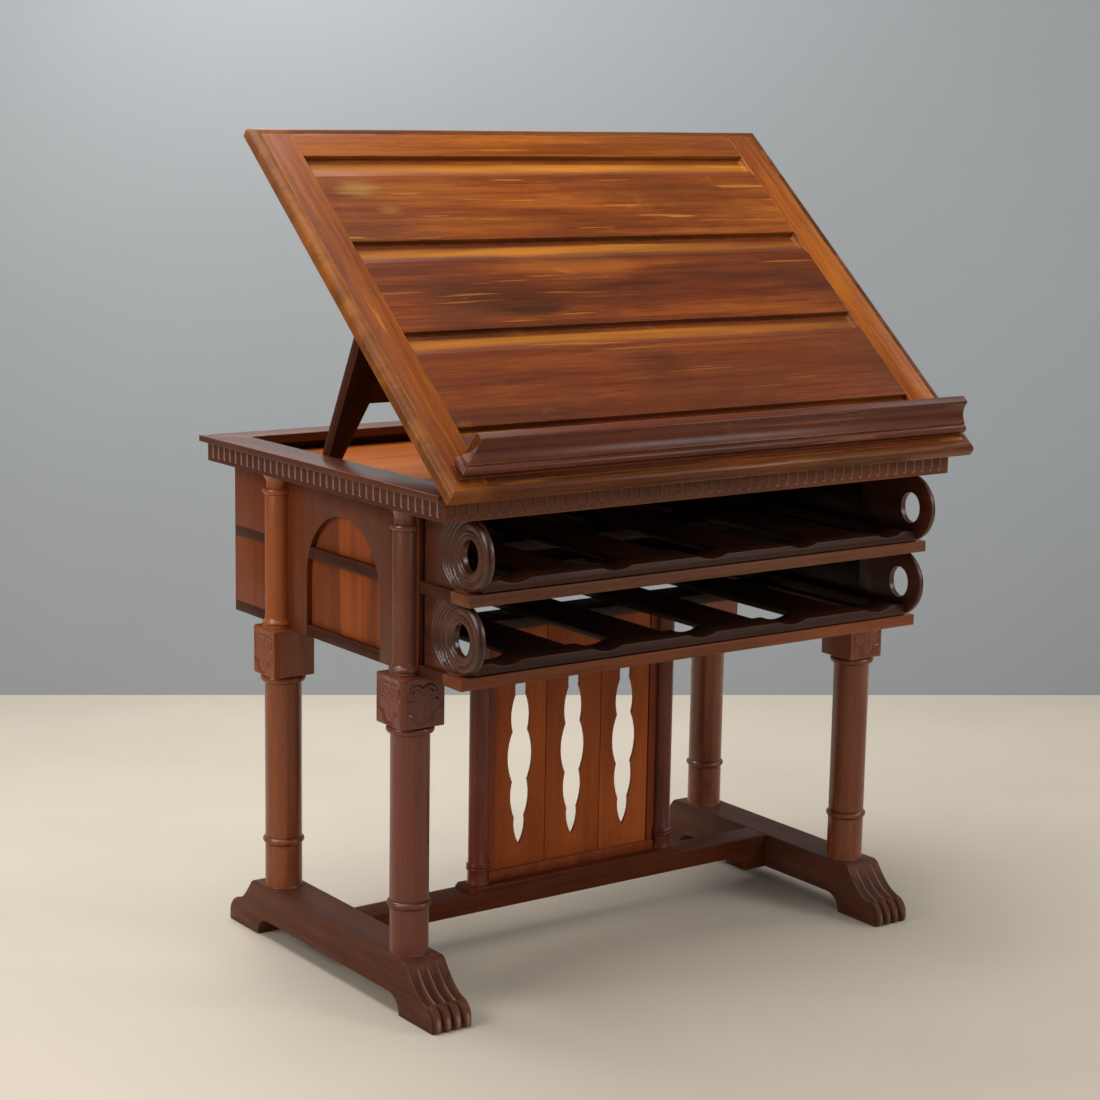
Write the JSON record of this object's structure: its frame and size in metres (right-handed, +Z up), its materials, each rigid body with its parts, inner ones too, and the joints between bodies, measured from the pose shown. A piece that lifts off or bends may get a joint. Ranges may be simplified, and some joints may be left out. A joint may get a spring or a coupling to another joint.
{
  "type": "lectern",
  "caption": "Folio lectern: tilting coved reading desk with a book ledge on a two-tier open case with slatted trays, carried by turned legs on sled feet with a pierced centre panel.",
  "frame": {"origin": "centre of the footprint of the bounding box, on the floor", "axes": "+X to the reader's right, +Y away from the reader, +Z up"},
  "size_m": [1.03, 0.7602, 1.3305],
  "materials": {
    "foot_wood": "satin dark red-brown",
    "leg_wood": "satin red-brown",
    "panel_wood": "satin orange-brown",
    "case_wood": "satin dark brown",
    "side_wood": "satin orange-brown",
    "frieze_wood": "satin purple-brown",
    "top_wood": "polished",
    "well_wood": "satin orange",
    "desk_wood": "worn satin orange-brown",
    "ledge_wood": "polished",
    "strut_wood": "satin red-brown",
    "tray_wood": "satin dark brown",
    "hinge_metal": "aged"
  },
  "bodies": {
    "stand": {"foot_left": "foot_wood", "foot_right": "foot_wood", "stretcher": "foot_wood", "leg_front_left": "leg_wood", "leg_front_right": "leg_wood", "leg_back_left": "leg_wood", "leg_back_right": "leg_wood", "panel_plinth": "foot_wood", "panel_posts": "leg_wood", "panel_bottom_rail": "panel_wood", "panel_stiles": "panel_wood", "panel_plank_left": "panel_wood", "panel_plank_middle": "panel_wood", "panel_plank_right": "panel_wood", "bottom_front_rail": "case_wood", "bottom_back_rail": "case_wood", "bottom_side_rails": "case_wood", "mid_front_rail": "case_wood", "mid_back_rail": "case_wood", "mid_side_rails": "case_wood", "cross_rails": "case_wood", "scroll_cheek_lower_left": "frieze_wood", "scroll_cheek_lower_right": "frieze_wood", "scroll_cheek_upper_left": "frieze_wood", "scroll_cheek_upper_right": "frieze_wood", "side_boards": "side_wood", "arch_board_left": "side_wood", "arch_board_right": "side_wood", "engaged_columns": "leg_wood", "back_boards": "case_wood", "frieze_front": "frieze_wood", "frieze_back": "frieze_wood", "frieze_sides": "frieze_wood", "well_floor": "well_wood", "top_front_rail": "top_wood", "top_back_rail": "top_wood", "top_side_rails": "top_wood", "strut_racks": "well_wood", "desk_hinge_fixed_leaves": "hinge_metal"},
    "desk": {"desk_stiles": "desk_wood", "desk_top_rail": "desk_wood", "desk_bottom_rail": "desk_wood", "desk_board_low": "desk_wood", "desk_board_middle": "desk_wood", "desk_board_high": "desk_wood", "desk_edge_moulding": "desk_wood", "book_ledge": "ledge_wood", "desk_battens": "desk_wood", "desk_hinge_moving_leaves": "hinge_metal", "strut_hinge_fixed_leaves": "hinge_metal"},
    "strut": {"strut_legs": "strut_wood", "strut_panel": "strut_wood", "strut_hinge_moving_leaves": "hinge_metal"},
    "tray_upper": {"tray_upper_front_rail": "tray_wood", "tray_upper_slats": "tray_wood", "tray_upper_frame": "tray_wood"},
    "tray_lower": {"tray_lower_front_rail": "tray_wood", "tray_lower_slats": "tray_wood", "tray_lower_frame": "tray_wood"}
  },
  "joints": [
    {"name": "desk_tilt", "type": "hinge", "parent": "stand", "child": "desk", "pos_m": [0, -0.35539, 0.8298], "axis": [1, 0, 0], "range_deg": [-21, 4.5]},
    {"name": "strut_swing", "type": "hinge", "parent": "desk", "child": "strut", "pos_m": [0, -0.03068, 1.09627], "axis": [1, 0, 0], "range_deg": [-13, 59.2]},
    {"name": "tray_upper_slide", "type": "slide", "parent": "stand", "child": "tray_upper", "axis": [0, -1, 0], "range_m": [0, 0.3]},
    {"name": "tray_lower_slide", "type": "slide", "parent": "stand", "child": "tray_lower", "axis": [0, -1, 0], "range_m": [0, 0.3]}
  ],
  "couplings": [
    {"joint": "strut_swing", "follows": "desk_tilt", "ratio": -2.8}
  ]
}
